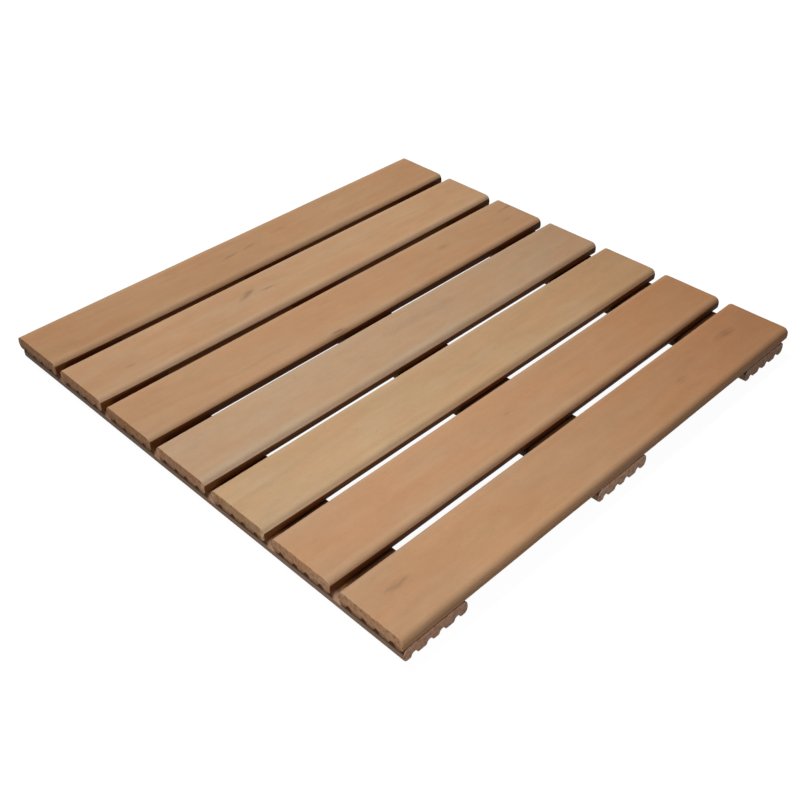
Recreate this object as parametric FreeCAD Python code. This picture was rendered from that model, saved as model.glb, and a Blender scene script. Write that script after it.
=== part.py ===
import FreeCAD, Part
import math
import os

# Slatted wooden deck tile: seven boards laid side by side on three battens, all cut from one
# moulding. The battens are turned a quarter turn and the boards are fixed to them from below
# with countersunk square-drive screws, one at each crossing, in a zigzag.
# Millimetres. Origin in the middle of the footprint, on the ground. X runs along the boards,
# Y across them, Z up.

# The tile: seven 64 mm boards leave 52 mm of its 500 mm depth to the six gaps
BOARD_LENGTH = 500.0
BOARD_COUNT = 7
BOARD_GAP = 52.0 / 6.0

# The moulding: flat face, rounded long edges, four grooves in the back
MOULDING_WIDTH = 64.0
MOULDING_THICKNESS = 13.0
FACE_EDGE_RADIUS = 5.5
BACK_EDGE_RADIUS = 4.0
GROOVE_DEPTH = 3.8
GROOVE_ROOF_RADIUS = 2.75
GROOVE_LIP_RADIUS = 1.8
SIDE_TO_OUTER_GROOVE = 10.45
BETWEEN_INNER_GROOVES = 12.5

# The battens, from left (-X) to right
BATTEN_NAMES = ("left", "middle", "right")
BATTEN_SIDE_INSET = 2.0
BATTEN_END_INSET = 1.0

# The screws, driven up through the battens
SCREW_DIAMETER = 3.5
SCREW_LENGTH = 20.0
SCREW_POINT_LENGTH = 4.0
SCREW_HEAD_DIAMETER = 6.8
SCREW_HEAD_ANGLE = 90.0
SCREW_SUNK = 0.3
DRIVE_WIDTH = 2.4
DRIVE_DEPTH = 1.8
BATTEN_HOLE_CLEARANCE = 0.3
PILOT_CLEARANCE = 0.05
PILOT_SPARE_DEPTH = 0.5

# Worked out from the sizes above
BOARD_PITCH = MOULDING_WIDTH + BOARD_GAP
TILE_DEPTH = BOARD_COUNT * MOULDING_WIDTH + (BOARD_COUNT - 1) * BOARD_GAP
BATTEN_LENGTH = TILE_DEPTH - 2.0 * BATTEN_END_INSET
BATTEN_SPREAD = BOARD_LENGTH - 2.0 * BATTEN_SIDE_INSET - MOULDING_WIDTH
INNER_GROOVE = BETWEEN_INNER_GROOVES / 2.0
OUTER_GROOVE = MOULDING_WIDTH / 2.0 - SIDE_TO_OUTER_GROOVE
WIDE_RIB = (INNER_GROOVE + OUTER_GROOVE) / 2.0
LIP_RISE = GROOVE_DEPTH - GROOVE_ROOF_RADIUS - GROOVE_LIP_RADIUS
LIP_OFFSET = math.sqrt((GROOVE_ROOF_RADIUS + GROOVE_LIP_RADIUS) ** 2 - LIP_RISE ** 2)


def at(across, up):
    """A point of the moulding's section, which stands in the YZ plane."""
    return FreeCAD.Vector(0.0, across, up)


def line(start, end):
    return Part.LineSegment(start, end).toShape()


def arc(across, up, radius, first_angle, last_angle):
    """An arc of the section about a centre, between two angles in degrees from +Y."""
    points = []
    for share in (0.0, 0.5, 1.0):
        angle = math.radians(first_angle + share * (last_angle - first_angle))
        points.append(at(across + radius * math.cos(angle), up + radius * math.sin(angle)))
    return Part.Arc(*points).toShape()


def groove(middle):
    """The edges of one groove, from its +Y lip over its round roof to its -Y lip. The three arcs
    run into each other: LIP_OFFSET across and LIP_RISE up lie between the centres of roof and lip."""
    lean = math.degrees(math.atan2(LIP_RISE, LIP_OFFSET))
    return [
        arc(middle + LIP_OFFSET, GROOVE_LIP_RADIUS, GROOVE_LIP_RADIUS, 270.0, 180.0 - lean),
        arc(middle, GROOVE_DEPTH - GROOVE_ROOF_RADIUS, GROOVE_ROOF_RADIUS, -lean, 180.0 + lean),
        arc(middle - LIP_OFFSET, GROOVE_LIP_RADIUS, GROOVE_LIP_RADIUS, lean, -90.0),
    ]


def section():
    """The moulding's section, with its ribs on the ground and its face up."""
    half = MOULDING_WIDTH / 2.0
    top = MOULDING_THICKNESS
    face_end = half - FACE_EDGE_RADIUS
    back_end = half - BACK_EDGE_RADIUS
    edges = [
        line(at(-face_end, top), at(face_end, top)),
        arc(face_end, top - FACE_EDGE_RADIUS, FACE_EDGE_RADIUS, 90.0, 0.0),
        line(at(half, top - FACE_EDGE_RADIUS), at(half, BACK_EDGE_RADIUS)),
        arc(back_end, BACK_EDGE_RADIUS, BACK_EDGE_RADIUS, 0.0, -90.0),
    ]
    land_start = back_end
    for middle in (OUTER_GROOVE, INNER_GROOVE, -INNER_GROOVE, -OUTER_GROOVE):
        edges.append(line(at(land_start, 0.0), at(middle + LIP_OFFSET, 0.0)))
        edges += groove(middle)
        land_start = middle - LIP_OFFSET
    edges += [
        line(at(land_start, 0.0), at(-back_end, 0.0)),
        arc(-back_end, BACK_EDGE_RADIUS, BACK_EDGE_RADIUS, 270.0, 180.0),
        line(at(-half, BACK_EDGE_RADIUS), at(-half, top - FACE_EDGE_RADIUS)),
        arc(-face_end, top - FACE_EDGE_RADIUS, FACE_EDGE_RADIUS, 180.0, 90.0),
    ]
    return Part.Face(Part.Wire(edges))


def moulding(length):
    """A length of the moulding along X, centred on the origin, ribs on the ground."""
    piece = section().extrude(FreeCAD.Vector(length, 0.0, 0.0))
    piece.translate(FreeCAD.Vector(-length / 2.0, 0.0, 0.0))
    return piece


def board_places():
    """The middle of each board across the tile, from the far side (+Y) to the near side."""
    far = (TILE_DEPTH - MOULDING_WIDTH) / 2.0
    return [far - number * BOARD_PITCH for number in range(BOARD_COUNT)]


def batten_places():
    """The middle of each batten along the boards, from left (-X) to right."""
    step = BATTEN_SPREAD / (len(BATTEN_NAMES) - 1)
    return [-BATTEN_SPREAD / 2.0 + number * step for number in range(len(BATTEN_NAMES))]


def screw_places(batten_x=None, board_y=None):
    """The (x, y) of every screw, or of those in one batten or one board. A screw stands where a wide
    rib of the batten crosses a wide rib of the board, on alternate sides from crossing to crossing."""
    places = []
    for column, x in enumerate(batten_places()):
        for row, y in enumerate(board_places()):
            if batten_x in (None, x) and board_y in (None, y):
                side = WIDE_RIB if (column + row) % 2 else -WIDE_RIB
                places.append((x + side, y + side))
    return places


def countersink(shank_radius, sunk=0.0):
    """A cone that narrows upwards at the head's angle, from a rim that lies sunk below the head's
    face to a shank of the given radius."""
    slope = math.tan(math.radians(SCREW_HEAD_ANGLE / 2.0))
    rim_radius = SCREW_HEAD_DIAMETER / 2.0 + sunk * slope
    return Part.makeCone(rim_radius, shank_radius, (rim_radius - shank_radius) / slope)


def screw():
    """One screw, point up, with the face of its head at height 0. Its thread isn't modelled."""
    radius = SCREW_DIAMETER / 2.0
    straight = SCREW_LENGTH - SCREW_POINT_LENGTH
    shank = Part.makeCylinder(radius, straight)
    point = Part.makeCone(radius, 0.0, SCREW_POINT_LENGTH, FreeCAD.Vector(0.0, 0.0, straight))
    corner = FreeCAD.Vector(-DRIVE_WIDTH / 2.0, -DRIVE_WIDTH / 2.0, 0.0)
    drive = Part.makeBox(DRIVE_WIDTH, DRIVE_WIDTH, DRIVE_DEPTH, corner)
    return countersink(radius).multiFuse([shank, point]).removeSplitter().cut(drive)


def batten_hole():
    """What a screw needs cut from a batten: a countersink that its head sinks into, and a bore."""
    radius = SCREW_DIAMETER / 2.0 + BATTEN_HOLE_CLEARANCE
    bore = Part.makeCylinder(radius, MOULDING_THICKNESS)
    return countersink(radius, SCREW_SUNK).fuse(bore).removeSplitter()


def pilot_hole():
    """A drill's way up through batten and board, a little deeper than the screw's point."""
    depth = SCREW_SUNK + SCREW_LENGTH + PILOT_SPARE_DEPTH
    return Part.makeCylinder(SCREW_DIAMETER / 2.0 + PILOT_CLEARANCE, depth)


def copies(shape, places, height=0.0):
    """Copies of a shape at (x, y) places."""
    placed = []
    for x, y in places:
        copy = shape.copy()
        copy.translate(FreeCAD.Vector(x, y, height))
        placed.append(copy)
    return placed


def board(board_y):
    """One board, ribs down on the battens, with a pilot hole for each of its screws."""
    body = moulding(BOARD_LENGTH)
    body.translate(FreeCAD.Vector(0.0, board_y, MOULDING_THICKNESS))
    return body.cut(copies(pilot_hole(), screw_places(board_y=board_y)))


def batten(batten_x):
    """One batten, ribs down on the ground, drilled and countersunk for its screws."""
    body = moulding(BATTEN_LENGTH)
    body.rotate(FreeCAD.Vector(), FreeCAD.Vector(0.0, 0.0, 1.0), 90.0)
    body.translate(FreeCAD.Vector(batten_x, 0.0, 0.0))
    return body.cut(copies(batten_hole(), screw_places(batten_x=batten_x)))


def save(name, shape):
    """Write one node, after a look at what it holds."""
    if not shape.isValid():
        raise ValueError(name + " is not a valid shape")
    shape.exportStep(os.path.join("parts", name + ".step"))
    print(name, "solids", len(shape.Solids), "volume", round(shape.Volume, 1))


def main():
    os.makedirs("parts", exist_ok=True)
    for number, board_y in enumerate(board_places(), start=1):
        save("board_" + str(number), board(board_y))
    for name, batten_x in zip(BATTEN_NAMES, batten_places()):
        save("batten_" + name, batten(batten_x))
        screws = copies(screw(), screw_places(batten_x=batten_x), SCREW_SUNK)
        save("screws_" + name, Part.makeCompound(screws))


main()
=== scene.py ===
"""The looks of a slatted wooden deck tile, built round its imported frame.

Seven boards lie side by side on three battens, and all ten are lengths of one moulding, with a flat face,
rounded long edges and four round grooves in the back. Screws come up through the battens. Each length becomes
a fine lofted surface in planed hardwood, and each screw gets its thread, its point and its square drive.

Sizes are in millimetres up to the point where a mesh, a lamp or the camera is made, which are in metres.
"""

import logging
import math
from dataclasses import dataclass
from enum import Enum

import bpy
import numpy as np
from mathutils import Matrix, Vector

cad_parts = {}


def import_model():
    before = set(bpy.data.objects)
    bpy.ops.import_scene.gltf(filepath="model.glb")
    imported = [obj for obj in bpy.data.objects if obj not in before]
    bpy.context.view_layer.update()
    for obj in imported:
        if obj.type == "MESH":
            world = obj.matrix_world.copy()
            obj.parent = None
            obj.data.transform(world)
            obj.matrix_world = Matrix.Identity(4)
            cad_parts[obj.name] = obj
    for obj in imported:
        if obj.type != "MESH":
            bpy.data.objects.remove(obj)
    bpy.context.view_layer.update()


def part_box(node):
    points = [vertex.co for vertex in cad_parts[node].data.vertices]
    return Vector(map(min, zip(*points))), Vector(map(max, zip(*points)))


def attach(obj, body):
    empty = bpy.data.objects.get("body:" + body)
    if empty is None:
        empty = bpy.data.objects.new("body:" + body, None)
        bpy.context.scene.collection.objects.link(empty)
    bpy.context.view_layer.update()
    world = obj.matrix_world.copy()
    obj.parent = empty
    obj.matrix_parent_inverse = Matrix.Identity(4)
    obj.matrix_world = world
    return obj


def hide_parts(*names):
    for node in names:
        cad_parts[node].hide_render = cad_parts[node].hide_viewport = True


MM = 0.001
BODY = "root"
SHARP_DEGREES = 40.0

Pair = tuple[float, float]
Triple = tuple[float, float, float]
Places = list[Pair]

log = logging.getLogger("deck_tile")


class Lay(Enum):
    """Which way a length of the moulding lies."""

    ALONG_X = "boards"
    ALONG_Y = "battens"


class Slot(Enum):
    """The record's material slots."""

    BOARD = "board_wood"
    BATTEN = "batten_wood"
    SCREW = "screw_steel"


def linear(red: int, green: int, blue: int) -> Triple:
    """A colour as it looks on a screen, in 0 to 255, as the linear values that a shader takes."""
    shares = (value / 255.0 for value in (red, green, blue))
    return tuple(s / 12.92 if s <= 0.04045 else ((s + 0.055) / 1.055) ** 2.4 for s in shares)


# Shader writing


class Field:
    """A number that changes over a surface. Arithmetic on fields and plain numbers adds Math nodes."""

    def __init__(self, paint: "Paint", socket: bpy.types.NodeSocket) -> None:
        """Wrap an output socket of one of the paint's nodes."""
        self.paint = paint
        self.socket = socket

    def __add__(self, other: "Field | float") -> "Field":
        """This field plus another."""
        return self.paint.math("ADD", self, other)

    def __mul__(self, other: "Field | float") -> "Field":
        """This field times another."""
        return self.paint.math("MULTIPLY", self, other)

    def __sub__(self, other: "Field | float") -> "Field":
        """This field less another."""
        return self.paint.math("SUBTRACT", self, other)

    def __rsub__(self, other: float) -> "Field":
        """A number less this field."""
        return self.paint.math("SUBTRACT", other, self)

    def __abs__(self) -> "Field":
        """This field without its sign."""
        return self.paint.math("ABSOLUTE", self)

    def step(self, low: float, high: float, first: float = 0.0, last: float = 1.0) -> "Field":
        """A smooth step over this field, from first at low to last at high."""
        made = self.paint.node(
            "ShaderNodeMapRange",
            {"interpolation_type": "SMOOTHSTEP"},
            {0: self, 1: low, 2: high, 3: first, 4: last},
        )
        return Field(self.paint, made.outputs[0])


class Paint:
    """Writes the nodes of one material, or of the world."""

    def __init__(self, tree: bpy.types.NodeTree) -> None:
        """Start with an empty tree."""
        self.tree = tree
        self.tree.nodes.clear()

    def node(self, kind: str, settings: dict | None = None, inputs: dict | None = None) -> bpy.types.Node:
        """One node.

        Args:
            kind: The node's type.
            settings: Its own settings, set before its sockets.
            inputs: Values or links by the name or number of each input socket.

        Returns:
            The node.
        """
        made = self.tree.nodes.new(kind)
        for key, value in (settings or {}).items():
            setattr(made, key, value)
        for key, value in (inputs or {}).items():
            socket = made.inputs[key]
            source = value.socket if isinstance(value, Field) else value
            if isinstance(source, bpy.types.NodeSocket):
                self.tree.links.new(source, socket)
            elif isinstance(source, tuple) and len(source) == 3 and socket.type == "RGBA":
                socket.default_value = (*source, 1.0)
            else:
                socket.default_value = source
        return made

    def math(self, operation: str, *values: "Field | float") -> Field:
        """A Math node on fields and numbers."""
        made = self.node("ShaderNodeMath", {"operation": operation}, dict(enumerate(values)))
        return Field(self, made.outputs[0])

    def blend(self, share: "Field | float", first: object, second: object, way: str = "MIX") -> Field:
        """Two colours mixed, with this share of the second."""
        inputs = {0: share, 6: first, 7: second}
        made = self.node("ShaderNodeMix", {"data_type": "RGBA", "blend_type": way}, inputs)
        return Field(self, made.outputs[2])

    def stretched(self, place: Field, grain: Triple, shift: Triple) -> Field:
        """A place over its grain and moved, so that a pattern's features are one unit long each way."""
        inputs = {0: place, 1: tuple(1.0 / length for length in grain), 2: shift}
        made = self.node("ShaderNodeVectorMath", {"operation": "MULTIPLY_ADD"}, inputs)
        return Field(self, made.outputs[0])

    def tinted(self, colour: Field, tints: "list[tuple[Field | float, Field | Triple]]") -> Field:
        """A colour multiplied by one tint after another, each as far as its share goes."""
        for share, tint in tints:
            colour = self.blend(share, colour, tint, "MULTIPLY")
        return colour

    def cloud(self, place: Field, pattern: "Pattern") -> Field:
        """Noise about zero, from about -0.5 to 0.5."""
        inputs = {"Vector": place, "Scale": 1.0, "Detail": pattern.detail, "Roughness": pattern.rough}
        made = self.node("ShaderNodeTexNoise", {"noise_dimensions": "3D"}, inputs)
        return Field(self, made.outputs[0]) - 0.5

    def cells(self, place: Field) -> Field:
        """The distance to the nearest of scattered points, about one to each unit cube."""
        made = self.node("ShaderNodeTexVoronoi", {"feature": "F1"}, {"Vector": place, "Scale": 1.0})
        return Field(self, made.outputs[0])

    def bump(self, height: Field) -> bpy.types.NodeSocket:
        """A normal from a height in millimetres."""
        made = self.node("ShaderNodeBump", None, {"Strength": 1.0, "Distance": MM, "Height": height})
        return made.outputs[0]

    def surface(self, inputs: dict) -> None:
        """One shader with these inputs as the material's surface."""
        shader = self.node("ShaderNodeBsdfPrincipled", None, inputs)
        self.node("ShaderNodeOutputMaterial", None, {0: shader.outputs[0]})


def new_material(name: str) -> tuple[bpy.types.Material, Paint]:
    """A new material and the writer of its nodes."""
    material = bpy.data.materials.new(name)
    material.use_nodes = True
    return material, Paint(material.node_tree)


# Finishes


@dataclass(frozen=True)
class Pattern:
    """Noise: how long its features are along, across and through a piece, and its detail."""

    grain: Triple
    detail: float = 3.0
    rough: float = 0.6


# The patterns of the wood in millimetres, in the order in which their shifts are drawn
WANDER = Pattern((170.0, 34.0, 34.0), rough=0.5)
GROWTH = Pattern((1.0, 1.0, 1.0))
FIBRE = Pattern((46.0, 0.8, 0.8), 4.0, 0.62)
STREAK = Pattern((210.0, 7.0, 7.0), rough=0.55)
PATCH = Pattern((90.0, 28.0, 28.0), 2.0, 0.5)
MOTTLE = Pattern((24.0, 11.0, 11.0))
PORE_GRAIN = (7.0, 0.7, 0.7)
TORN = Pattern((9.0, 2.6, 40.0))
COMBED = Pattern((16.0, 0.9, 40.0), 2.0, 0.5)
BLOTCH = Pattern((20.0, 3.2, 3.2))
RIPPLE = Pattern((5.5, 55.0, 55.0), 1.0, 0.4)
SAW = Pattern((40.0, 11.0, 0.9), 2.0)
SHIFT_REACH = 50.0
GROWTH_SHIFT_REACH = 90.0
WANDER_REACH = 26.0

# Where steps over the patterns start and end, and the least or most that they come to
PORE_BAND = (0.10, 0.24)
COMBED_BAND = (-0.12, 0.14)
COMBED_LEAST = 0.25
TONE_BAND = (-0.05, 1.05)
PINK_BAND = (0.34, 0.66)
PINK_MOST = 0.8
BLOTCH_BAND = (0.40, 0.72)
MARK_BAND = (0.1, 1.2)

# The same for masks, in millimetres in from an end or a side, below the face or above the ribs
END_BAND = (0.55, 0.15)
# From here on, bands and depths place painted light and shade: painted shade on the gap walls, the sides, the
# feet of the sawn ends and a batten's top under the boards, a painted highlight on the rounding, painted
# light on a batten's top in the gaps, and with the edge band and depth a paler band that is partly wear and
# partly painted sheen.
RIM_BAND = (5.0, 3.0)
EDGE_BAND = (10.0, 4.0)
GAP_LIGHT_BAND = (9.0, 5.0)
EDGE_DEPTH = (5.0, 3.5)
ARRIS_HIGHLIGHT_DEPTH = (1.8, 3.8)
GAP_LIGHT_DEPTH = (3.0, 1.0)
JOINT_SHADE_DEPTH = (5.6, 4.0)
OPEN_DEPTH = (5.2, 9.0)
LOW_SHADE_DEPTH = (4.6, 6.2)
FOOT_SHADE_HEIGHT = (5.5, 0.3)
SIDE_SHADE_FADE = 1.6
WALL_FADE = 0.8
CROSSING_FADE = 4.0
MIDLINE_HALF = 1.0

# The same along a length, in shares of its half
# Where the tint turns into the last tint; the change is partly painted light
DRIFT_BAND = (-0.7, 1.3)
# Painted shade: darker towards both ends of a length
END_SHADE_BAND = (0.5, 1.0)
END_SHADE_MOST = 0.5

# What each pattern adds to the tone, to the relief in millimetres and to the roughness
LAYER_TONE = 2.2
FIBRE_TONE = 0.18
STREAK_TONE = 0.34
MOTTLE_TONE = 0.5
PORE_TONE = 0.3
FIBRE_RELIEF = 0.05
LAYER_RELIEF = 0.03
PORE_RELIEF = 0.03
RIPPLE_RELIEF = 0.02
SAW_RELIEF = 0.25
BLOTCH_RELIEF = 0.12
FIBRE_ROUGH = 0.16
PORE_ROUGH = 0.10
END_ROUGH = 0.14
WOOD_ROUGH = 0.62
WOOD_SPECULAR = 0.12


@dataclass(frozen=True)
class Spot:
    """A point of a length in the length's own axes, and the length's own sizes, in millimetres."""

    place: Field
    along: Field
    across: Field
    up: Field
    half_length: float
    half_width: float
    thickness: float

    def below(self, band: Pair) -> Field:
        """A step from 0 to 1 between two depths below the face."""
        return self.up.step(self.thickness - band[0], self.thickness - band[1])

    def near_end(self, band: Pair) -> Field:
        """A step from 0 to 1 between two distances from the nearer end."""
        return abs(self.along).step(self.half_length - band[0], self.half_length - band[1])

    def near_side(self, band: Pair, first: float = 0.0, last: float = 1.0) -> Field:
        """A step between two distances from the nearer side."""
        return abs(self.across).step(self.half_width - band[0], self.half_width - band[1], first, last)


# The patterns of one length by name: noise about zero, but for pore and combed, which are shares
Figure = dict[str, Field]


@dataclass(frozen=True)
class Mark:
    """A discoloured spot, a pin knot or a streak of darker grain in one board's face, in millimetres from its
    middle.
    """

    along: float
    across: float
    length: float
    width: float
    turn: float = 0.0
    strength: float = 0.5
    ragged: float = 1.6
    stain_and_shade: Triple = (0.36, 0.37, 0.40)

    def mask(self, paint: Paint, spot: Spot, figure: Figure) -> Field:
        """How much of the mark there is at a place: an ellipse with a torn rim, combed into streaks.

        Args:
            paint: The material's writer.
            spot: The place on the board.
            figure: The board's patterns.

        Returns:
            A field from 0 to the mark's strength.
        """
        cos, sin = math.cos(math.radians(self.turn)), math.sin(math.radians(self.turn))
        off_along = spot.along - self.along
        off_across = spot.across - self.across
        first = (off_along * cos + off_across * sin) * (2.0 / self.length)
        second = (off_across * cos - off_along * sin) * (2.0 / self.width)
        distance = paint.math("SQRT", first * first + second * second) + figure["torn"] * self.ragged
        return distance.step(*MARK_BAND, self.strength, 0.0) * figure["combed"]


@dataclass(frozen=True)
class WoodFinish:
    """Planed hardwood, whose figure is solid, so that it runs on from the face to the sides and the ends.

    The growth layers are wandering rounds about a pith that runs under the length, a little out of line
    with it. The face's edges are paler and bluer, partly from wear and partly as a painted sheen, and the
    sawn ends are blotched. The walls of the gaps carry painted shade below a line that bows along the
    board, darkest where it crosses a batten, with a painted highlight on the rounding above that line. A
    batten carries painted shade where a board covers it and painted light on its top where it shows in a
    gap, and its sawn ends are brightened as painted light. The sides and lower parts, the feet of the
    sawn ends and the ends of each length are darkened as painted shade, and the change from one tint to
    the other along a board is partly painted light. Fields whose names end in from are depths below the face.
    """

    # Along a board the change from tint to last_tint is partly the wood's own and partly painted light: on
    # the near boards last_tint is darker and more saturated where the light falls off.
    tint: Triple
    last_tint: Triple
    seed: int
    pith_across: float = 12.0
    pith_below: float = 120.0
    lean: float = 0.04
    layer: float = 5.0
    layer_depth: float = 0.22
    marks: tuple[Mark, ...] = ()
    # On boards the sawn ends' own darker end grain; on battens, above one, painted light that brightens their
    # ends
    end_grain_and_light_tint: Triple = (0.80, 0.79, 0.80)
    # Painted shade: the sides below the rounding where another length crosses, and the whole lower part,
    # darkened
    side_shade_tint: Triple = (0.85, 0.80, 0.76)
    # How much painted shade the far and near walls of the gaps take
    far_wall: float = 1.0
    near_wall: float = 1.0
    covered: float = 0.0
    crossing_pitch: float = 216.0
    crossing_half: float = 33.5
    # Depth and bow of the line under which the gap walls take painted shade
    wall_from: float = 4.6
    wall_bow: float = 1.3
    # Depth below the face where the painted shade on the sides starts
    side_shade_from: float = 4.6
    # Share of painted shade at the foot of the sawn ends
    end_foot_shade: float = 1.0
    # Paler, bluer band along the face's long edges: partly wear and partly a painted sheen
    wear_and_sheen: float = 0.5
    # Painted highlight: the lower part of the long edges' rounding and the side under it made paler and bluer
    arris_highlight: float = 0.0
    pale: Triple = (1.10, 1.12, 1.14)
    deep: Triple = (0.88, 0.84, 0.79)
    pink: Triple = (1.03, 0.95, 0.88)
    pore_tint: Triple = (0.45, 0.38, 0.32)
    # Colour of that band: partly wear and partly painted sheen
    wear_and_sheen_tint: Triple = (1.06, 1.20, 1.36)
    # Colour of that painted highlight
    arris_highlight_tint: Triple = (1.50, 1.60, 1.80)
    # Painted light: a batten's top made paler where it shows in the gaps between boards
    gap_light_tint: Triple = (1.90, 1.60, 1.20)
    # Colour of the painted shade towards both ends
    end_shade_tint: Triple = (0.87, 0.86, 0.86)
    blotch_tint: Triple = (0.62, 0.55, 0.52)
    # Colour of the painted shade at the foot of the sawn ends, by the joint
    foot_shade_tint: Triple = (0.44, 0.43, 0.45)
    # Painted shade on the walls of the gaps: upper, deeper, and where a batten crosses under them
    wall_shade_tint: Triple = (0.22, 0.14, 0.06)
    open_wall_shade: Triple = (0.34, 0.22, 0.12)
    crossed_shade: Triple = (0.20, 0.11, 0.04)

    def figure(self, paint: Paint, spot: Spot) -> Figure:
        """The patterns of a length, each moved by its own random shift.

        Args:
            paint: The material's writer.
            spot: The place on the length.

        Returns:
            The patterns.
        """
        draw = np.random.default_rng(self.seed)

        def shifted(grain: Triple) -> Field:
            """The place for a pattern of this grain, with a random shift."""
            shift = tuple(float(value) for value in draw.uniform(-SHIFT_REACH, SHIFT_REACH, 3))
            return paint.stretched(spot.place, grain, shift)

        def cloud(pattern: Pattern) -> Field:
            """Noise about zero with its own shift."""
            return paint.cloud(shifted(pattern.grain), pattern)

        wander = cloud(WANDER)
        beside = spot.across - self.pith_across + spot.along * self.lean
        above = spot.up + self.pith_below
        ring = paint.math("SQRT", beside * beside + above * above) + wander * WANDER_REACH
        rounds = ring * (1.0 / self.layer) + float(draw.uniform(0.0, GROWTH_SHIFT_REACH))
        growth = paint.node(
            "ShaderNodeTexNoise",
            {"noise_dimensions": "1D"},
            {"W": rounds, "Scale": 1.0, "Detail": GROWTH.detail, "Roughness": GROWTH.rough},
        )
        return dict(
            layers=Field(paint, growth.outputs[0]) - 0.5,
            fibre=cloud(FIBRE),
            streak=cloud(STREAK),
            patch=cloud(PATCH),
            mottle=cloud(MOTTLE),
            pore=paint.cells(shifted(PORE_GRAIN)).step(*PORE_BAND, 1.0, 0.0),
            torn=cloud(TORN),
            combed=cloud(COMBED).step(*COMBED_BAND, COMBED_LEAST, 1.0),
            blotch=cloud(BLOTCH),
            ripple=cloud(RIPPLE),
            saw=cloud(SAW),
        )

    def colour(self, paint: Paint, spot: Spot, figure: Figure, end: Field) -> Field:
        """The colour of the wood: its own, then what wear and the saw have made of it, under painted light
        and shade.

        Args:
            paint: The material's writer.
            spot: The place on the length.
            figure: The length's patterns.
            end: One on the sawn ends.

        Returns:
            The colour.
        """
        off_crossing = paint.math("PINGPONG", spot.along, self.crossing_pitch / 2.0)
        crossed = off_crossing.step(self.crossing_half, self.crossing_half + CROSSING_FADE, 1.0, 0.0)
        tone = figure["layers"] * (self.layer_depth * LAYER_TONE) + figure["fibre"] * FIBRE_TONE
        tone = tone + figure["streak"] * STREAK_TONE + figure["mottle"] * MOTTLE_TONE
        # Partly painted light: the blend from the tint to the last tint along the length
        drift = spot.along.step(*(share * spot.half_length for share in DRIFT_BAND))
        # Painted shade, darker towards both ends
        outer = abs(spot.along).step(*(share * spot.half_length for share in END_SHADE_BAND), 0.0, END_SHADE_MOST)
        # Where a batten's top shows in a gap, to take painted light
        hollow = (1.0 - crossed) * spot.below(GAP_LIGHT_DEPTH) * self.covered
        colour = paint.tinted(paint.blend(drift, self.tint, self.last_tint), [
            (1.0, paint.blend((tone + 0.5).step(*TONE_BAND), self.deep, self.pale)),
            ((figure["patch"] + 0.5).step(*PINK_BAND, 0.0, PINK_MOST), self.pink),
            (figure["pore"] * PORE_TONE, self.pore_tint),
            *((mark.mask(paint, spot, figure), mark.stain_and_shade) for mark in self.marks),
            # Partly wear and partly painted sheen along the face's edges
            (spot.near_side(EDGE_BAND) * spot.below(EDGE_DEPTH) * self.wear_and_sheen, self.wear_and_sheen_tint),
            # Painted shade towards both ends
            (outer, self.end_shade_tint),
            # Painted highlight on the lower rounding of the long edges
            (spot.below(ARRIS_HIGHLIGHT_DEPTH) * spot.near_side(RIM_BAND) * self.arris_highlight, self.arris_highlight_tint),
            # Painted light on a batten's top in the gaps
            (hollow * spot.near_side(GAP_LIGHT_BAND, 1.0, 0.0), self.gap_light_tint),
        ])
        sawn = paint.tinted(colour, [
            # End grain, and on battens painted light on the sawn ends
            (1.0, self.end_grain_and_light_tint),
            ((figure["blotch"] + 0.5).step(*BLOTCH_BAND), self.blotch_tint),
            # Painted shade at the foot of the sawn ends
            (end * spot.up.step(*FOOT_SHADE_HEIGHT) * self.end_foot_shade, self.foot_shade_tint),
        ])
        # Painted shade on the sides and lower part, darker towards the bottom
        side = spot.below((self.side_shade_from, self.side_shade_from + SIDE_SHADE_FADE)) * crossed
        side = paint.math("MAXIMUM", side, spot.below(LOW_SHADE_DEPTH))
        # Painted shade on the walls of the gaps, below a line that bows along the length
        bow = spot.along * spot.along * (self.wall_bow / spot.half_length**2)
        line = spot.thickness - self.wall_from
        facing = spot.across.step(-MIDLINE_HALF, MIDLINE_HALF, self.near_wall, self.far_wall)
        wall = (spot.up - bow).step(line, line - WALL_FADE) * spot.near_side(RIM_BAND) * facing
        # Painted shade on those walls and on a batten's top under the boards, darkest where lengths cross
        shaded = paint.math("MAXIMUM", wall, spot.below(JOINT_SHADE_DEPTH) * self.covered * crossed)
        stain_and_shade = paint.blend(spot.below(OPEN_DEPTH), self.wall_shade_tint, self.open_wall_shade)
        stain_and_shade = paint.blend(crossed, stain_and_shade, self.crossed_shade)
        colour = paint.tinted(colour, [(side, self.side_shade_tint), (shaded, stain_and_shade)])
        return paint.blend(end, colour, sawn)

    def material(self, name: str, lay: Lay, middle: Vector, size: Vector) -> bpy.types.Material:
        """The finish for one length of the moulding.

        Args:
            name: The material's name.
            lay: Which way the length lies.
            middle: The middle of its underside, in millimetres.
            size: Its size along x, y and z, in millimetres.

        Returns:
            The material, on Object coordinates.
        """
        material, paint = new_material(name)
        along_x = lay is Lay.ALONG_X
        length, width = (size.x, size.y) if along_x else (size.y, size.x)
        start = middle if along_x else Vector((middle.y, -middle.x, middle.z))
        local = paint.node(
            "ShaderNodeMapping",
            {"vector_type": "POINT"},
            {
                0: paint.node("ShaderNodeTexCoord").outputs["Object"],
                1: tuple(-start),
                2: (0.0, 0.0, math.radians(0.0 if along_x else -90.0)),
                3: (1.0 / MM, 1.0 / MM, 1.0 / MM),
            },
        )
        place = Field(paint, local.outputs[0])
        parts = paint.node("ShaderNodeSeparateXYZ", None, {0: place})
        axes = (Field(paint, socket) for socket in parts.outputs)
        spot = Spot(place, *axes, length / 2.0, width / 2.0, size.z)
        figure = self.figure(paint, spot)
        end = spot.near_end(END_BAND)

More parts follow.
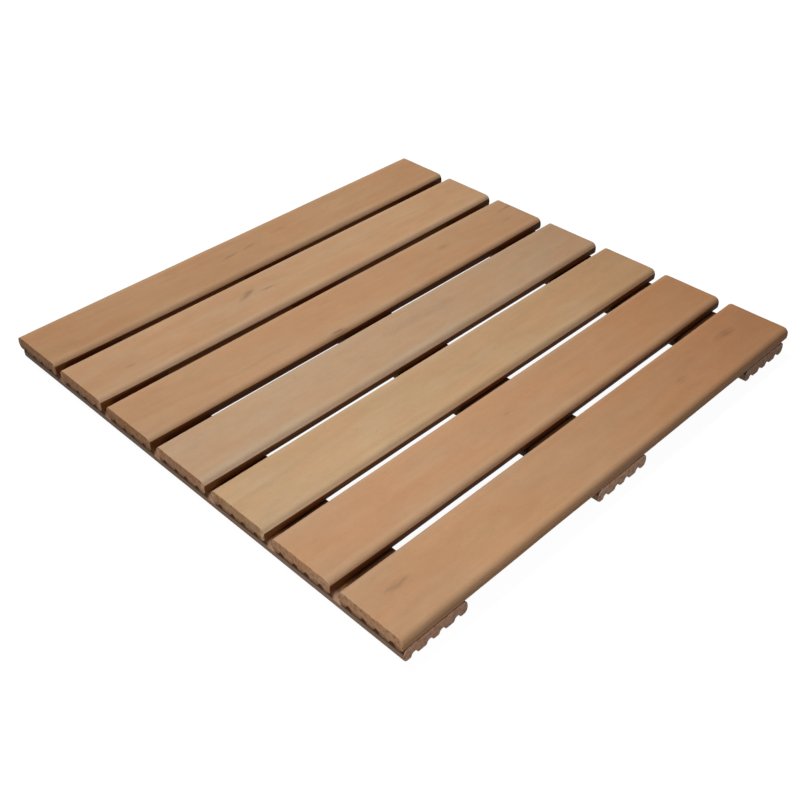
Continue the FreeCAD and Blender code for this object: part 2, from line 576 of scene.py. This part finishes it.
        flat = figure["fibre"] * FIBRE_RELIEF + figure["layers"] * LAYER_RELIEF - figure["pore"] * PORE_RELIEF
        sawn = end * (figure["saw"] * SAW_RELIEF + figure["blotch"] * BLOTCH_RELIEF)
        roughness = figure["fibre"] * FIBRE_ROUGH + figure["pore"] * PORE_ROUGH + end * END_ROUGH + WOOD_ROUGH
        paint.surface({
            "Base Color": self.colour(paint, spot, figure, end),
            "Roughness": roughness,
            "Normal": paint.bump(flat + figure["ripple"] * RIPPLE_RELIEF + sawn),
            "Specular IOR Level": WOOD_SPECULAR,
        })
        return material


@dataclass(frozen=True)
class BattenFinish(WoodFinish):
    """The same wood as a batten: covered by the boards, with its sides and lower part much darker as painted
    shade, painted light on its top in the gaps, and no painted shade on walls.
    """

    # Painted shade: a batten's sides and lower part much darker
    side_shade_tint: Triple = (0.39, 0.44, 0.49)
    far_wall: float = 0.0
    near_wall: float = 0.0
    covered: float = 1.0
    crossing_pitch: float = 72.667
    crossing_half: float = 30.0
    side_shade_from: float = 1.8
    end_foot_shade: float = 0.0
    # Painted shade on a batten's top where a board covers it
    crossed_shade: Triple = (0.22, 0.14, 0.06)


@dataclass(frozen=True)
class ZincFinish:
    """Zinc-plated steel: grey, dulled in patches, finely scratched. Its grain is in metres."""

    bright: Triple = linear(196, 196, 192)
    dull: Triple = linear(150, 150, 146)
    bright_band: Pair = (0.3, 0.7)
    spangle: Pattern = Pattern((1.6 * MM, 1.6 * MM, 1.6 * MM))
    spangle_shift: Triple = (3.0, 7.0, 1.0)
    scratch: Pattern = Pattern((0.16 * MM, 1.6 * MM, 0.64 * MM), 2.0)
    scratch_shift: Triple = (9.0, 2.0, 5.0)
    scratch_depth: float = 0.01
    rough: float = 0.36
    rough_spread: float = 0.25

    def material(self, name: str) -> bpy.types.Material:
        """The finish, on Object coordinates."""
        material, paint = new_material(name)
        place = Field(paint, paint.node("ShaderNodeTexCoord").outputs["Object"])
        spangle = paint.cloud(paint.stretched(place, self.spangle.grain, self.spangle_shift), self.spangle)
        scratch = paint.cloud(paint.stretched(place, self.scratch.grain, self.scratch_shift), self.scratch)
        paint.surface({
            "Base Color": paint.blend((spangle + 0.5).step(*self.bright_band), self.dull, self.bright),
            "Roughness": spangle * self.rough_spread + self.rough,
            "Metallic": 1.0,
            "Normal": paint.bump(scratch * self.scratch_depth),
        })
        return material


# Shapes


def arc(across: float, up: float, radius: float, first: float, last: float, steps: int) -> np.ndarray:
    """Points of an arc: the centre plus the radius times the cosine and sine of evenly rising degrees."""
    angle = np.radians(np.linspace(first, last, steps + 1))
    return np.stack([across + radius * np.cos(angle), up + radius * np.sin(angle)], axis=1)


def straight(start: Pair, end: Pair, steps: int) -> np.ndarray:
    """Evenly spaced points of a line, from its start up to but not including its end."""
    share = np.arange(steps)[:, None] / steps
    return np.asarray(start) * (1.0 - share) + np.asarray(end) * share


def mesh_object(name: str, points: np.ndarray, faces: np.ndarray) -> bpy.types.Object:
    """A smooth-shaded mesh object at the origin, from those points that a face uses.

    Args:
        name: The object's name.
        points: One row of x, y and z for each vertex, in millimetres.
        faces: One row of vertex numbers for each face.

    Returns:
        The object, linked to the scene.
    """
    used, renumbered = np.unique(faces, return_inverse=True)
    mesh = bpy.data.meshes.new(name)
    mesh.from_pydata((points[used] * MM).tolist(), [], renumbered.reshape(faces.shape).tolist())
    mesh.update()
    mesh.shade_smooth()
    made = bpy.data.objects.new(name, mesh)
    bpy.context.scene.collection.objects.link(made)
    return made


def ring_faces(numbers: np.ndarray) -> np.ndarray:
    """The quads between neighbouring rings of vertex numbers, each ring closed on itself."""
    here, there = numbers[:-1], numbers[1:]
    turned_here, turned_there = np.roll(here, -1, axis=1), np.roll(there, -1, axis=1)
    return np.stack([here, turned_here, turned_there, there], axis=-1).reshape(-1, 4)


def turned(radius: np.ndarray, height: np.ndarray, turn: np.ndarray) -> np.ndarray:
    """Rings of points about the axis: the radius times the turn's cosine and sine, and the height."""
    return np.stack([radius * np.cos(turn), radius * np.sin(turn), height + 0.0 * turn], axis=-1)


def pointed_faces(rings: np.ndarray) -> np.ndarray:
    """The quads of a turned surface, whose first and last rings are points on its axis."""
    numbers = np.arange(rings.shape[0] * rings.shape[1]).reshape(rings.shape[:2])
    numbers[0] = numbers[0, 0]
    numbers[-1] = numbers[-1, 0]
    return ring_faces(numbers)


def group(name: str, copies: list[np.ndarray], faces: np.ndarray) -> bpy.types.Object:
    """Copies of one surface, with the same faces each, as one object."""
    every = np.concatenate([faces + index * len(copies[0]) for index in range(len(copies))])
    made = mesh_object(name, np.concatenate(copies), every)
    made.data.validate()
    return made


@dataclass(frozen=True)
class Moulding:
    """The moulding's section and how its lengths are cut, in millimetres.

    The section stands on its ribs. Its outline is drawn as two curves, which both run from the middle of
    the left side to the middle of the right one: the back goes down and over the grooves, and the face goes
    up and across. Both have as many points, and the face's are spaced like the back's.
    """

    width: float
    thickness: float
    face_radius: float = 5.5
    back_radius: float = 4.0
    groove_depth: float = 3.8
    groove_roof: float = 2.75
    groove_lip: float = 1.8
    side_to_outer_groove: float = 10.45
    between_inner_grooves: float = 12.5
    lip_steps: int = 5
    roof_steps: int = 10
    land_steps: int = 4
    edge_steps: int = 9
    waist_steps: int = 3
    eased: float = 0.45
    ease_angles: tuple[float, ...] = (90.0, 60.0, 30.0, 0.0)
    cap_shares: tuple[float, ...] = (0.97, 0.75, 0.4, 0.0)
    first_bay: float = 0.8
    station: float = 8.0
    uneven: float = 0.14
    waves: int = 6
    wave_lengths: Pair = (60.0, 240.0)
    wave_turns: tuple[int, int] = (1, 5)
    wave_gain: float = 2.2

    def groove(self, middle: float) -> np.ndarray:
        """One groove from left to right: a lip, the round roof and the other lip, running into each other."""
        rise = self.groove_depth - self.groove_roof - self.groove_lip
        offset = math.sqrt((self.groove_roof + self.groove_lip) ** 2 - rise**2)
        lean = math.degrees(math.atan2(rise, offset))
        roof_height = self.groove_depth - self.groove_roof
        return np.concatenate([
            arc(middle - offset, self.groove_lip, self.groove_lip, -90.0, lean, self.lip_steps)[:-1],
            arc(middle, roof_height, self.groove_roof, 180.0 + lean, -lean, self.roof_steps)[:-1],
            arc(middle + offset, self.groove_lip, self.groove_lip, 180.0 - lean, 270.0, self.lip_steps),
        ])

    def outline(self) -> np.ndarray:
        """The closed outline: the back from left to right, then the face from right to left.

        Returns:
            An even number of rows of across and up. Row i of the back lies under row -i of the face.
        """
        half, top = self.width / 2.0, self.thickness
        inner = self.between_inner_grooves / 2.0
        outer = half - self.side_to_outer_groove
        flat, face_flat = half - self.back_radius, half - self.face_radius
        waist = (self.back_radius + top - self.face_radius) / 2.0
        under = []
        start = -flat
        for middle in (-outer, -inner, inner, outer):
            shape = self.groove(middle)
            under += [straight((start, 0.0), tuple(shape[0]), self.land_steps), shape[:-1]]
            start = float(shape[-1, 0])
        under += [straight((start, 0.0), (flat, 0.0), self.land_steps)]
        back_middle = np.concatenate(under)
        face_across = back_middle[:, 0] * face_flat / flat
        face_middle = np.stack([face_across, np.full(len(face_across), top)], axis=1)

        def side(centre: float, radius: float, turn: float) -> tuple[np.ndarray, np.ndarray]:
            """The left side from its waist to the flat, and the right one from the flat back to its waist."""
            left = np.concatenate([
                straight((-half, waist), (-half, centre), self.waist_steps),
                arc(radius - half, centre, radius, 180.0, 180.0 + turn, self.edge_steps)[:-1],
            ])
            right = np.concatenate([
                arc(half - radius, centre, radius, -turn, 0.0, self.edge_steps),
                straight((half, centre), (half, waist), self.waist_steps)[1:],
            ])
            return left, np.concatenate([right, [[half, waist]]])

        back_left, back_right = side(self.back_radius, self.back_radius, 90.0)
        face_left, face_right = side(top - self.face_radius, self.face_radius, -90.0)
        back = np.concatenate([back_left, back_middle, back_right])
        face = np.concatenate([face_left, face_middle, face_right])
        return np.concatenate([back, face[-2:0:-1]])

    def length_of_it(self, name: str, lay: Lay, middle: Vector, length: float, seed: int) -> bpy.types.Object:
        """One length of the moulding as a closed lofted surface.

        A point is a function of two parameters. Around the section it follows the outline. Along the length
        it goes from the line half way up one end, out over that end, round its eased edge, along the moulding
        and back in the same way at the other end. Low waves, always inwards, make the planed faces a little
        uneven.

        Args:
            name: The object's name.
            lay: Which way the length lies.
            middle: The middle of its underside, in millimetres.
            length: Its length.
            seed: Chooses its unevenness.

        Returns:
            The object.
        """
        outline = self.outline()
        count = len(outline)
        partner = (-np.arange(count)) % count
        spine = (outline + outline[partner]) / 2.0
        tangent = np.roll(outline, -1, axis=0) - np.roll(outline, 1, axis=0)
        outward = np.stack([tangent[:, 1], -tangent[:, 0]], axis=1)
        outward /= np.linalg.norm(outward, axis=1, keepdims=True)

        half = length / 2.0
        angle = np.radians(self.ease_angles)
        rounding_along = half - self.eased * (1.0 - np.cos(angle))
        rounding_inset = self.eased * (1.0 - np.sin(angle))
        inner_half = half - self.eased - self.first_bay
        bays = max(2, round(2.0 * inner_half / self.station))
        body_along = np.linspace(-inner_half, inner_half, bays + 1)
        cap_share = np.array(self.cap_shares)
        cap_along, cap_inset = np.full(len(cap_share), half), np.full(len(cap_share), self.eased)
        along = np.concatenate([-cap_along, -rounding_along[::-1], body_along, rounding_along, cap_along])
        flat = np.zeros(bays + 1)
        inset = np.concatenate([cap_inset, rounding_inset[::-1], flat, rounding_inset, cap_inset])
        share = np.concatenate([cap_share[::-1], np.ones(len(along) - 2 * len(cap_share)), cap_share])

        draw = np.random.default_rng(seed)
        long_wave = draw.uniform(*self.wave_lengths, self.waves)[:, None, None]
        turns = draw.integers(*self.wave_turns, self.waves)[:, None, None]
        phase = draw.uniform(0.0, math.tau, self.waves)[:, None, None]
        around = np.linspace(0.0, math.tau, count, endpoint=False)
        running = math.tau * along[None, :, None] / long_wave
        wave = np.sin(running + turns * around[None, None, :] + phase)
        hollow = self.uneven * (0.5 + 0.5 * np.clip(wave.mean(axis=0) * self.wave_gain, -1.0, 1.0))

        section = outline[None] - outward[None] * (inset[:, None] + hollow)[:, :, None]
        section = spine[None] + (section - spine[None]) * share[:, None, None]
        rows = np.broadcast_to(along[:, None], section.shape[:2])
        if lay is Lay.ALONG_X:
            points = np.stack([rows, section[:, :, 0], section[:, :, 1]], axis=-1)
        else:
            points = np.stack([-section[:, :, 0], rows, section[:, :, 1]], axis=-1)
        points = points + np.array(middle)

        numbers = np.arange(len(along) * count).reshape(len(along), count)
        folded = np.minimum(np.arange(count), partner)
        numbers[0] = numbers[0][folded]
        numbers[-1] = numbers[-1][folded]
        return mesh_object(name, points.reshape(-1, 3), ring_faces(numbers))


@dataclass(frozen=True)
class ScrewShape:
    """A countersunk wood screw with a square drive, in millimetres, point up."""

    length: float = 20.0
    head_radius: float = 3.4
    crest_radius: float = 1.75
    core_radius: float = 1.15
    neck_radius: float = 1.3
    neck_end: float = 5.2
    taper_start: float = 15.5
    pitch: float = 1.7
    ridge_half: float = 0.28
    crest_taper: float = 0.7
    rows_per_turn: int = 8
    drive_half: float = 1.2
    drive_depth: float = 1.8
    drive_narrowing: float = 0.12
    drive_ease: float = 0.03
    drive_lip: float = 0.08
    face_ring: Triple = (2.2, 0.0, 0.35)
    rim_height: float = 0.12
    rim_round: float = 0.14
    around: int = 24
    hole_around: int = 48
    hole_clearance: float = 0.3
    pilot_clearance: float = 0.05
    pilot_spare: float = 0.5
    cut_over: float = 1.0
    sunk: float = 0.3

    def surface(self) -> np.ndarray:
        """Rings of one screw, from the bottom of its drive over its head and up to its point.

        A point is a function of height and angle. Its radius is the profile's, blended towards a square in
        and about the drive. On the thread it is the core's radius plus a ridge, which is highest where
        height over pitch less angle over a turn is half past a whole number, and fades in and out.

        Returns:
            Points as rings by places around by x, y and z.
        """
        neck_start = self.head_radius - self.neck_radius + self.rim_height
        # Radius, height and squareness
        head = np.array([
            [0.0, self.drive_depth, 0.0], [self.drive_half - self.drive_narrowing, self.drive_depth, 1.0],
            [self.drive_half - self.drive_ease, self.rim_height, 1.0],
            [self.drive_half + self.drive_lip, 0.0, 1.0], self.face_ring,
            [self.head_radius - self.rim_round, 0.0, 0.0], [self.head_radius, self.rim_height, 0.0],
            [self.neck_radius, neck_start, 0.0], [self.neck_radius, self.neck_end, 0.0],
        ])
        thread_rows = int((self.length - self.neck_end) / self.pitch * self.rows_per_turn)
        height = np.linspace(self.neck_end, self.length, thread_rows + 1)[1:]
        heights = np.concatenate([head[:, 1], height])[:, None]
        square = np.concatenate([head[:, 2], np.zeros(len(height))])[:, None]
        taper = np.clip((self.length - heights) / (self.length - self.taper_start), 0.0, 1.0)
        turn = np.linspace(0.0, math.tau, self.around, endpoint=False)[None, :]
        lead = (heights / self.pitch - turn / math.tau) % 1.0
        ridge = np.clip(1.0 - np.abs(lead - 0.5) / self.ridge_half, 0.0, 1.0)
        fade = np.clip((heights - self.neck_end) / self.pitch, 0.0, 1.0)
        core = self.core_radius * taper
        threaded = core + (self.crest_radius * taper**self.crest_taper - core) * ridge * fade
        plain = np.concatenate([head[:, 0], np.zeros(len(height))])[:, None]
        radius = np.where(heights > self.neck_end, threaded, plain)
        radius[:len(head)] = plain[:len(head)]
        to_square = 1.0 / np.maximum(np.abs(np.cos(turn)), np.abs(np.sin(turn)))
        radius = radius * (1.0 + square * (to_square - 1.0))
        return turned(radius, heights, turn)

    def placed(self, name: str, places: Places, seed: int) -> bpy.types.Object:
        """A group of the screw's copies, each turned by chance, with its head sunk in the batten.

        Args:
            name: The object's name.
            places: The x and y of each screw.
            seed: Chooses the turns.

        Returns:
            The object.
        """
        one = self.surface()
        turns = np.random.default_rng(seed).uniform(0.0, math.tau, len(places))
        copies = [
            one.reshape(-1, 3) @ np.array(Matrix.Rotation(turn, 3, "Z")).T + np.array([x, y, self.sunk])
            for turn, (x, y) in zip(turns, places)
        ]
        made = group(name, copies, pointed_faces(one)[:, ::-1])
        made.data.set_sharp_from_angle(angle=math.radians(SHARP_DEGREES))
        return made

    def cutter(self, name: str, places: Places, bore: float, top: float,
               countersunk: bool) -> bpy.types.Object:
        """What the screws' holes take out of the wood: round plugs, with a cone at the foot of a batten's.

        Args:
            name: The object's name.
            places: The x and y of each hole.
            bore: The hole's radius.
            top: The height where the plugs end.
            countersunk: Whether they start with a cone for the head.

        Returns:
            The plugs as one object.
        """
        rim = self.head_radius + self.sunk
        cone = [[rim + self.cut_over, -self.cut_over], [bore, rim - bore]]
        foot = cone if countersunk else [[bore, 0.0]]
        profile = np.array([[0.0, foot[0][1]], *foot, [bore, top], [0.0, top]])
        turn = np.linspace(0.0, math.tau, self.hole_around, endpoint=False)[None, :]
        one = turned(profile[:, 0:1], profile[:, 1:2], turn)
        copies = [one.reshape(-1, 3) + np.array([x, y, 0.0]) for x, y in places]
        return group(name, copies, pointed_faces(one))


def drill(piece: bpy.types.Object, cutter: bpy.types.Object) -> None:
    """Take a cutter out of a piece, and keep its curves smooth and the rims of its holes sharp.

    Args:
        piece: The object to cut.
        cutter: The volume to take out, which is deleted.
    """
    holes = piece.modifiers.new("holes", "BOOLEAN")
    holes.operation = "DIFFERENCE"
    holes.solver = "EXACT"
    holes.object = cutter
    graph = bpy.context.evaluated_depsgraph_get()
    cut = bpy.data.meshes.new_from_object(piece.evaluated_get(graph))
    piece.modifiers.clear()
    piece.data = cut
    piece.data.name = piece.name
    piece.data.shade_smooth()
    piece.data.set_sharp_from_angle(angle=math.radians(SHARP_DEGREES))
    bpy.data.objects.remove(cutter)


# Sub-assemblies


@dataclass(frozen=True)
class Layout:
    """Where the frame has each piece, in millimetres."""

    boards: tuple[str, ...] = tuple(f"board_{number}" for number in range(1, 8))
    sides: tuple[str, ...] = ("left", "middle", "right")

    def middle(self, node: str) -> Vector:
        """The middle of a node's underside."""
        low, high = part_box(node)
        return Vector(((low.x + high.x) / 2.0, (low.y + high.y) / 2.0, low.z)) / MM

    def size(self, node: str) -> Vector:
        """A node's size along x, y and z."""
        low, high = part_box(node)
        return (high - low) / MM

    def screw_places(self, moulding: Moulding, batten: str | None = None, board: str | None = None) -> Places:
        """Where the screws stand: on a wide rib of batten and board, on alternate sides at each crossing.

        Args:
            moulding: The moulding, for its ribs.
            batten: Only those in this batten.
            board: Only those in this board.

        Returns:
            The x and y of each.
        """
        inner = moulding.between_inner_grooves / 2.0
        outer = moulding.width / 2.0 - moulding.side_to_outer_groove
        rib = (inner + outer) / 2.0
        places = []
        for column, side in enumerate(self.sides):
            for row, name in enumerate(self.boards):
                if batten in (None, f"batten_{side}") and board in (None, name):
                    shift = rib if (column + row) % 2 else -rib
                    x = self.middle(f"batten_{side}").x + shift
                    y = self.middle(name).y + shift
                    places.append((x, y))
        return places


@dataclass
class Lengths:
    """Lengths of the moulding, with what it takes to make them."""

    layout: Layout
    moulding: Moulding
    screw: ScrewShape
    finishes: tuple[WoodFinish, ...]

    def make(self, node: str, lay: Lay, slot: Slot, finish: WoodFinish, holes: bpy.types.Object) -> None:
        """Make, drill and dress one length.

        Args:
            node: The node that it stands for.
            lay: Which way it lies.
            slot: Its material slot; not used.
            finish: Its finish.
            holes: What the screws take out of it.
        """
        middle, size = self.layout.middle(node), self.layout.size(node)
        length = size.x if lay is Lay.ALONG_X else size.y
        piece = self.moulding.length_of_it(f"{node}_planed", lay, middle, length, finish.seed)
        drill(piece, holes)
        piece.data.materials.append(finish.material(f"wood_{node}", lay, middle, size))
        report(piece, node)


@dataclass
class Boards(Lengths):
    """The seven boards of the walking face, far to near."""

    def build(self) -> None:
        """Make each board, with pilot holes that end a little past the screws."""
        bore = self.screw.crest_radius + self.screw.pilot_clearance
        top = self.screw.sunk + self.screw.length + self.screw.pilot_spare
        for name, finish in zip(self.layout.boards, self.finishes):
            places = self.layout.screw_places(self.moulding, board=name)
            holes = self.screw.cutter("pilot_holes", places, bore, top, False)
            self.make(name, Lay.ALONG_X, Slot.BOARD, finish, holes)


@dataclass
class Battens(Lengths):
    """The three battens under the boards, left to right."""

    def build(self) -> None:
        """Make each batten, drilled and countersunk right through."""
        bore = self.screw.crest_radius + self.screw.hole_clearance
        top = self.moulding.thickness + self.screw.cut_over
        for side, finish in zip(self.layout.sides, self.finishes):
            places = self.layout.screw_places(self.moulding, batten=f"batten_{side}")
            holes = self.screw.cutter("screw_holes", places, bore, top, True)
            self.make(f"batten_{side}", Lay.ALONG_Y, Slot.BATTEN, finish, holes)


@dataclass
class Screws:
    """The screws, in one group for each batten."""

    layout: Layout
    moulding: Moulding
    screw: ScrewShape
    finish: ZincFinish
    first_seed: int = 40

    def build(self) -> None:
        """Make and dress each group."""
        material = self.finish.material("zinc_plated_steel")
        for index, side in enumerate(self.layout.sides):
            places = self.layout.screw_places(self.moulding, batten=f"batten_{side}")
            piece = self.screw.placed(f"screws_{side}_threaded", places, self.first_seed + index)
            piece.data.materials.append(material)
            report(piece, f"screws_{side}")


def report(piece: bpy.types.Object, node: str) -> None:
    """Put a piece in its node's place, ride it on the tile and log it."""
    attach(piece, BODY)
    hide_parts(node)
    log.info("%s stands for %s with %d faces", piece.name, node, len(piece.data.polygons))


# Studio


@dataclass(frozen=True)
class Lamp:
    """A rectangular soft light, in metres and watts."""

    name: str
    place: Triple
    aim: Triple
    width: float
    height: float
    power: float

    def build(self) -> None:
        """Hang the lamp, turned towards its aim."""
        data = bpy.data.lights.new(self.name, "AREA")
        data.shape = "RECTANGLE"
        data.size = self.width
        data.size_y = self.height
        data.energy = self.power
        lamp = bpy.data.objects.new(self.name, data)
        lamp.location = self.place
        towards = Vector(self.aim) - Vector(self.place)
        lamp.rotation_euler = towards.to_track_quat("-Z", "Y").to_euler()
        bpy.context.scene.collection.objects.link(lamp)


@dataclass(frozen=True)
class Studio:
    """The white floor in metres, the light, and the camera in millimetres and degrees."""

    sky: float = 0.09
    floor_half: float = 15.0
    floor_glow: float = 0.96
    floor_shade: float = 0.10
    floor_bounce: float = 0.18
    lamps: tuple[Lamp, ...] = (
        Lamp("key_light", (0.0, 1.5, 3.5), (0.0, 0.0, 0.0), 0.8, 0.8, 120.0),
        Lamp("front_light", (-1.12, -0.65, 0.30), (0.0, 0.0, 0.0), 0.3, 0.2, 7.6),
    )
    camera_place: Triple = (-571.29, -577.88, 602.49)
    camera_azimuth: float = 44.472
    camera_elevation: float = 38.917
    camera_roll: float = -0.798
    camera_lens: float = 48.881
    sensor: float = 36.0

    def white_to_the_eye(self, paint: Paint) -> Field:
        """One for rays from the camera and for those that gloss or glass sends on, nought for the rest."""
        path = paint.node("ShaderNodeLightPath")
        seen = Field(paint, path.outputs["Is Camera Ray"])
        seen = paint.math("MAXIMUM", seen, Field(paint, path.outputs["Is Glossy Ray"]))
        return paint.math("MAXIMUM", seen, Field(paint, path.outputs["Is Transmission Ray"]))

    def world(self) -> None:
        """A soft white sky, which is full white where it is seen."""
        world = bpy.data.worlds.new("soft_sky")
        bpy.context.scene.world = world
        world.use_nodes = True
        paint = Paint(world.node_tree)
        strength = self.white_to_the_eye(paint) * (1.0 - self.sky) + self.sky
        sky = paint.node("ShaderNodeBackground", None, {0: (1.0, 1.0, 1.0), 1: strength})
        paint.node("ShaderNodeOutputWorld", None, {0: sky.outputs[0]})

    def floor(self) -> None:
        """A white floor that keeps the tile's shadow, faintly."""
        half = self.floor_half / MM
        corners = np.array([[-half, -half, 0.0], [half, -half, 0.0], [half, half, 0.0], [-half, half, 0.0]])
        floor = mesh_object("floor", corners, np.array([[0, 1, 2, 3]]))
        material, paint = new_material("floor_white")
        glow = paint.node("ShaderNodeEmission", None, {0: (1.0, 1.0, 1.0), 1: self.floor_glow})
        shade = paint.node("ShaderNodeBsdfDiffuse", None, {0: (self.floor_shade,) * 3})
        seen = paint.node("ShaderNodeAddShader", None, {0: glow.outputs[0], 1: shade.outputs[0]})
        bounce = paint.node("ShaderNodeBsdfDiffuse", None, {0: (self.floor_bounce,) * 3})
        mixed = paint.node(
            "ShaderNodeMixShader",
            None,
            {0: self.white_to_the_eye(paint), 1: bounce.outputs[0], 2: seen.outputs[0]},
        )
        paint.node("ShaderNodeOutputMaterial", None, {0: mixed.outputs[0]})
        floor.data.materials.append(material)

    def camera(self) -> None:
        """The camera at the photograph's place. Its azimuth turns the view from +Y towards +X."""
        data = bpy.data.cameras.new("camera")
        data.sensor_width = self.sensor
        data.lens = self.camera_lens
        camera = bpy.data.objects.new("camera", data)
        level = Matrix.Rotation(math.radians(90.0 - self.camera_elevation), 3, "X")
        turn = Matrix.Rotation(math.radians(-self.camera_azimuth), 3, "Z")
        roll = Matrix.Rotation(math.radians(self.camera_roll), 3, "Z")
        place = Matrix.Translation(Vector(self.camera_place) * MM)
        camera.matrix_world = place @ (turn @ level @ roll).to_4x4()
        bpy.context.scene.collection.objects.link(camera)
        bpy.context.scene.camera = camera

    def build(self) -> None:
        """Set up the stage, the light and the camera."""
        self.world()
        self.floor()
        for lamp in self.lamps:
            lamp.build()
        self.camera()
        bpy.context.scene.view_settings.view_transform = "Standard"
        log.info("studio with %d lamp(s)", len(self.lamps))


# The tile

# Lighter painted shade for the deeper part of the far boards' gap walls
OPEN_WALL_SHADE = (0.60, 0.37, 0.13)
GREYED = (0.80, 0.83, 0.87)
BLUED = (0.36, 0.40, 0.46)

# Far to near. A finish has its tints, a seed, the pith across and below, a lean and a layer. A mark has
# its place along and across, length, width, turn, strength and raggedness.
# Each board's two tints differ partly by painted light that falls off along the board.
BOARD_FINISHES = (
    WoodFinish(
        linear(174, 134, 98), linear(180, 141, 105), 11, 9.0, 110.0, 0.05, 5.5,
        far_wall=0.0, wear_and_sheen=0.7, arris_highlight=0.6, wall_from=4.7, wall_bow=2.1, open_wall_shade=OPEN_WALL_SHADE,
        marks=(
            Mark(-28.0, 1.0, 34.0, 6.0, 10.0, 0.55),
            Mark(0.0, 3.0, 26.0, 5.0, 6.0, 0.45),
            Mark(43.0, 7.0, 26.0, 9.0, 0.0, 0.28),
            Mark(-157.0, 25.0, 4.5, 2.6, 0.0, 0.8, 0.5),
        ),
    ),
    WoodFinish(
        linear(184, 147, 113), linear(189, 152, 116), 12, -14.0, 130.0, 0.03,
        wear_and_sheen=0.6, arris_highlight=0.8, wall_bow=1.9, open_wall_shade=OPEN_WALL_SHADE, end_grain_and_light_tint=(0.75, 0.69, 0.66),
        marks=(
            Mark(-60.0, 6.0, 30.0, 9.0, 24.0, 0.80),
            Mark(-36.0, 0.5, 30.0, 3.6, -10.0, 0.72),
            Mark(-179.0, 20.5, 2.6, 1.8, 0.0, 0.9, 0.4),
            Mark(-203.0, -9.0, 14.0, 5.0, 0.0, 0.25),
        ),
    ),
    WoodFinish(
        linear(184, 145, 110), linear(180, 141, 106), 13, 4.0, 95.0, 0.06, 6.0,
        wall_from=3.9, end_grain_and_light_tint=(0.73, 0.66, 0.59),
        marks=(
            Mark(241.0, 11.5, 28.0, 4.2, 3.0, 0.75),
            Mark(137.0, 4.0, 20.0, 10.0, 0.0, 0.38),
            Mark(223.0, -6.0, 16.0, 5.0, 0.0, 0.35),
            Mark(-40.0, -29.5, 26.0, 6.0, 0.0, 0.80),
        ),
    ),
    WoodFinish(
        linear(187, 156, 125), linear(176, 144, 113), 14, -6.0, 150.0, 0.02, 7.0,
        arris_highlight=0.9, end_grain_and_light_tint=(0.78, 0.64, 0.58),
        marks=(
            Mark(36.0, 6.0, 130.0, 15.0, -3.0, 0.8, 1.0, GREYED),
            Mark(-113.0, 18.7, 5.0, 2.0, 0.0, 0.40, 0.4),
        ),
    ),
    WoodFinish(
        linear(194, 162, 126), linear(180, 143, 106), 15,
        pith_across=16.0, layer=6.0,
        wear_and_sheen=0.3, arris_highlight=1.0, wall_from=4.9, end_grain_and_light_tint=(0.74, 0.67, 0.63),
        marks=(Mark(-123.0, 2.4, 5.0, 2.4, 0.0, 0.38, 0.5),),
    ),
    WoodFinish(
        linear(192, 151, 115), linear(174, 129, 91), 16, -3.0, 100.0, 0.05, wall_from=4.8,
        marks=(Mark(-23.0, 1.0, 11.0, 3.6, 8.0, 0.42),),
    ),
    WoodFinish(
        linear(189, 149, 113), linear(168, 121, 84), 17, 10.0, 140.0, 0.035, 5.5,
        # The near board: no painted shade on its near wall, and its own painted shade on the lower side
        near_wall=0.0, wear_and_sheen=0.3, side_shade_from=4.0, side_shade_tint=(0.74, 0.70, 0.67),
        marks=(
            Mark(-218.0, 6.3, 30.0, 9.0, 2.0, 0.55, 1.6, BLUED),
            Mark(203.0, 6.0, 34.0, 11.0, -8.0, 0.45),
            Mark(118.0, -4.0, 18.0, 8.0, 0.0, 0.3),
        ),
    ),
)

# Left to right
# Their end tints, above one, are painted light on the sawn ends.
BATTEN_FINISHES = (
    BattenFinish(
        linear(184, 143, 114), linear(158, 120, 92), 21, 8.0, 80.0, 0.03, end_grain_and_light_tint=(1.20, 1.26, 1.42),
    ),
    BattenFinish(
        linear(170, 133, 104), linear(166, 128, 98), 22, -12.0, 100.0, 0.02, 5.5, end_grain_and_light_tint=(1.90, 2.15, 2.60),
    ),
    BattenFinish(
        linear(168, 130, 100), linear(166, 128, 98), 23,
        pith_across=15.0, pith_below=90.0, layer=4.5, end_grain_and_light_tint=(1.36, 1.56, 1.90),
    ),
)


def main() -> None:
    """Load the frame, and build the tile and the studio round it."""
    logging.basicConfig(level=logging.INFO, format="%(name)s: %(message)s")
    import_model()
    layout = Layout()
    board = layout.size(layout.boards[0])
    moulding = Moulding(width=board.y, thickness=board.z)
    screw = ScrewShape()
    Boards(layout, moulding, screw, BOARD_FINISHES).build()
    Battens(layout, moulding, screw, BATTEN_FINISHES).build()
    Screws(layout, moulding, screw, ZincFinish()).build()
    Studio().build()


if __name__ == "__main__":
    main()
